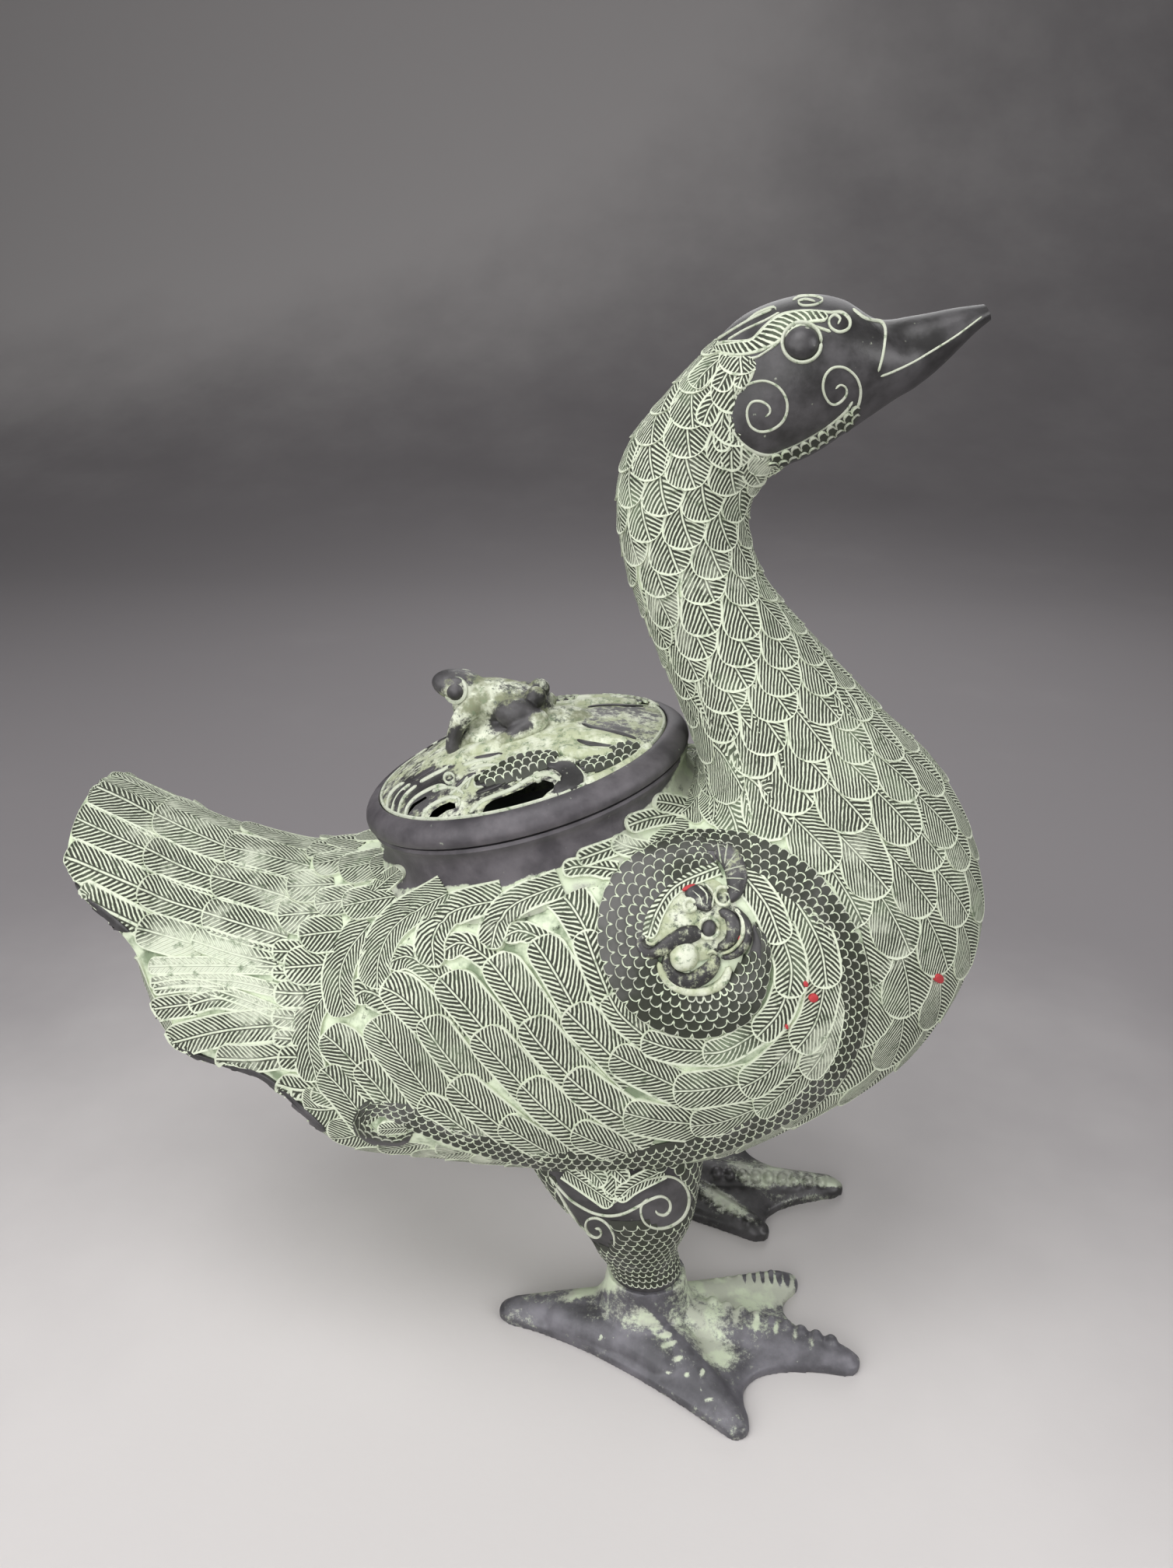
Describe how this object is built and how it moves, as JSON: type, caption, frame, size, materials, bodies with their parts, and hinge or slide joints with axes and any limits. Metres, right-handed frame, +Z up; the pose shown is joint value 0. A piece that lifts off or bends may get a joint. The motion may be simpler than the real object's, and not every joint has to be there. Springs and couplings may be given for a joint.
{
  "type": "duck jar",
  "caption": "Hollow bronze jar in the form of a standing duck on two webbed feet, with a pierced lid that lifts out of its back by a frog knob.",
  "frame": {"origin": "on the ground under the middle of the bounding box, midway between the feet", "axes": "+Z up, +X towards the bill, +Y the duck's left side"},
  "size_m": [0.319, 0.1712, 0.3662],
  "materials": {
    "patina": "matt pale green patina over engraved dark bronze",
    "dark_bronze": "satin blackened bronze",
    "lid_bronze": "matt green-white patina over blackened bronze",
    "foot_bronze": "satin blackened bronze with green patina patches",
    "eye_bronze": "polished dark bronze"
  },
  "bodies": {
    "duck": {"body_shell": "patina", "tail_fan": "patina", "neck_shell": "patina", "head_shell": "dark_bronze", "bill": "dark_bronze", "mouth_collar": "dark_bronze", "left_eye": "eye_bronze", "right_eye": "eye_bronze", "left_leg": "dark_bronze", "right_leg": "dark_bronze", "left_foot": "foot_bronze", "right_foot": "foot_bronze"},
    "lid": {"lid_ring": "dark_bronze", "lid_dome": "lid_bronze", "frog_knob": "lid_bronze", "frog_left_eye": "eye_bronze", "frog_right_eye": "eye_bronze"}
  },
  "joints": [
    {"name": "lid_lift", "type": "slide", "parent": "duck", "child": "lid", "axis": [-0.4226, 0, 0.9063], "range_m": [0, 0.08]}
  ]
}
